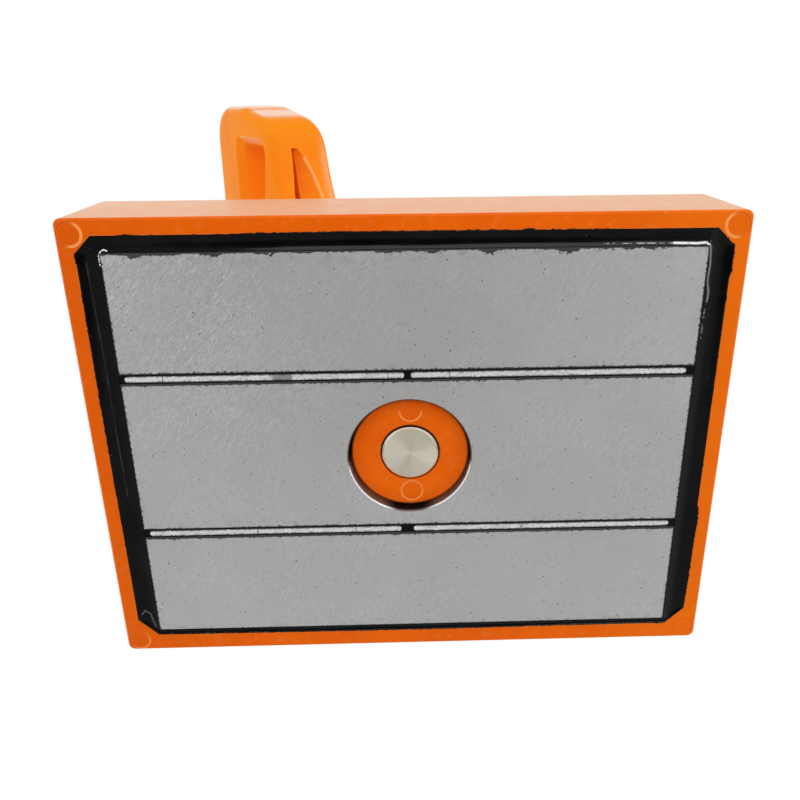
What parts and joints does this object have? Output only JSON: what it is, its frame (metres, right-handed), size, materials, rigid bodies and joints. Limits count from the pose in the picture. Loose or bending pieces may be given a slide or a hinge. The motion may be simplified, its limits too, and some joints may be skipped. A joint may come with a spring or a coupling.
{
  "type": "hand lifting magnet",
  "caption": "Hand-held permanent lifting magnet: flat rectangular pole face in a cast shell, tilting loop handle that drives a push-off pin through the face.",
  "frame": {"origin": "centre of the flat pole face", "axes": "+Z from the pole face up through the housing towards the handle; +X towards the side the handle leans to, along the long side; +Y along the handle's pivot pin"},
  "size_m": [0.12, 0.1216, 0.1359],
  "materials": {
    "orange_cast": "gloss powder coat on die-cast alloy",
    "ground_steel": "ground, fine scratches",
    "nickel_magnet": "dull nickel plate, hairline cracks",
    "black_resin": "poured resin, glossy",
    "turned_steel": "turned, concentric marks",
    "zinc_screw": "zinc plated",
    "bronze": "sintered bronze",
    "black_rubber": "matt",
    "spring_steel": "oiled spring wire",
    "cam_steel": "hardened, black oxide"
  },
  "bodies": {
    "base": {"housing": "orange_cast", "pivot_bracket": "orange_cast", "bracket_gasket": "black_rubber", "bracket_screws": "zinc_screw", "plate_screws": "zinc_screw", "pole_plate_centre": "ground_steel", "pole_plate_outer_a": "ground_steel", "pole_plate_outer_b": "ground_steel", "magnet_bars_row_a": "nickel_magnet", "magnet_bars_row_b": "nickel_magnet", "potting_resin": "black_resin", "plunger_bush": "bronze", "plunger_wiper": "black_rubber", "return_spring": "spring_steel", "pivot_bushes": "bronze"},
    "plunger": {"plunger": "turned_steel", "plunger_head": "turned_steel"},
    "handle": {"handle": "orange_cast", "handle_grub_screws": "cam_steel", "pivot_pin": "turned_steel", "pin_circlips": "spring_steel", "cam": "cam_steel", "cam_roll_pin": "spring_steel", "cam_spacers": "zinc_screw"}
  },
  "joints": [
    {"name": "handle_tilt", "type": "hinge", "parent": "base", "child": "handle", "pos_m": [0, 0, 0.034], "axis": [0, 1, 0], "range_deg": [-28, 52]},
    {"name": "plunger_slide", "type": "slide", "parent": "base", "child": "plunger", "axis": [0, 0, -1], "range_m": [-0.0033, 0.006], "deforming": ["return_spring"]}
  ],
  "couplings": [
    {"joint": "plunger_slide", "follows": "handle_tilt", "m_per_rad": 0.0065}
  ]
}
